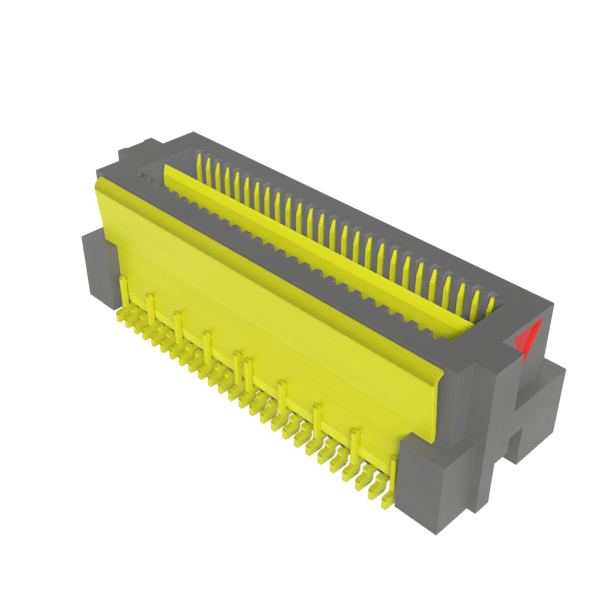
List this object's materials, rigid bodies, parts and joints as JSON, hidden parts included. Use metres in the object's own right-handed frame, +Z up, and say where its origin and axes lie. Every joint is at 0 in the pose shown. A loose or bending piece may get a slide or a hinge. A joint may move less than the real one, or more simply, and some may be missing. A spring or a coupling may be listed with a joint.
{
  "type": "board to board connector",
  "caption": "Shielded board to board receptacle: slotted housing, contact rows, outer shield plate, centre shield and polarising keys.",
  "frame": {"origin": "middle of the connector on the plane of the contact feet's undersides, where it stands on the board", "axes": "+X along the contact rows towards the end with the position 1 mark, +Y across the rows towards the back row, +Z up from the board, the way the mating half is pulled off"},
  "size_m": [0.0334, 0.0118, 0.0105],
  "materials": {
    "housing_plastic": "moulded grey high-temperature plastic, fine satin grain, red paint in the sunken position mark",
    "contact_metal": "stamped copper alloy with a lemon-yellow satin plating",
    "shield_metal": "stamped and bent copper alloy sheet with a lemon-yellow satin plating"
  },
  "bodies": {
    "root": {"housing": "housing_plastic", "centre_shield": "shield_metal", "front_shield": "shield_metal", "ground_contact_back_01": "contact_metal", "ground_contact_back_04": "contact_metal", "ground_contact_back_07": "contact_metal", "ground_contact_back_10": "contact_metal", "ground_contact_back_13": "contact_metal", "ground_contact_back_14": "contact_metal", "ground_contact_back_17": "contact_metal", "ground_contact_back_20": "contact_metal", "ground_contact_back_23": "contact_metal", "ground_contact_back_26": "contact_metal", "ground_contact_front_01": "contact_metal", "ground_contact_front_04": "contact_metal", "ground_contact_front_07": "contact_metal", "ground_contact_front_10": "contact_metal", "ground_contact_front_13": "contact_metal", "ground_contact_front_14": "contact_metal", "ground_contact_front_17": "contact_metal", "ground_contact_front_20": "contact_metal", "ground_contact_front_23": "contact_metal", "ground_contact_front_26": "contact_metal", "signal_contact_back_02": "contact_metal", "signal_contact_back_03": "contact_metal", "signal_contact_back_05": "contact_metal", "signal_contact_back_06": "contact_metal", "signal_contact_back_08": "contact_metal", "signal_contact_back_09": "contact_metal", "signal_contact_back_11": "contact_metal", "signal_contact_back_12": "contact_metal", "signal_contact_back_15": "contact_metal", "signal_contact_back_16": "contact_metal", "signal_contact_back_18": "contact_metal", "signal_contact_back_19": "contact_metal", "signal_contact_back_21": "contact_metal", "signal_contact_back_22": "contact_metal", "signal_contact_back_24": "contact_metal", "signal_contact_back_25": "contact_metal", "signal_contact_front_02": "contact_metal", "signal_contact_front_03": "contact_metal", "signal_contact_front_05": "contact_metal", "signal_contact_front_06": "contact_metal", "signal_contact_front_08": "contact_metal", "signal_contact_front_09": "contact_metal", "signal_contact_front_11": "contact_metal", "signal_contact_front_12": "contact_metal", "signal_contact_front_15": "contact_metal", "signal_contact_front_16": "contact_metal", "signal_contact_front_18": "contact_metal", "signal_contact_front_19": "contact_metal", "signal_contact_front_21": "contact_metal", "signal_contact_front_22": "contact_metal", "signal_contact_front_24": "contact_metal", "signal_contact_front_25": "contact_metal"}
  },
  "joints": []
}
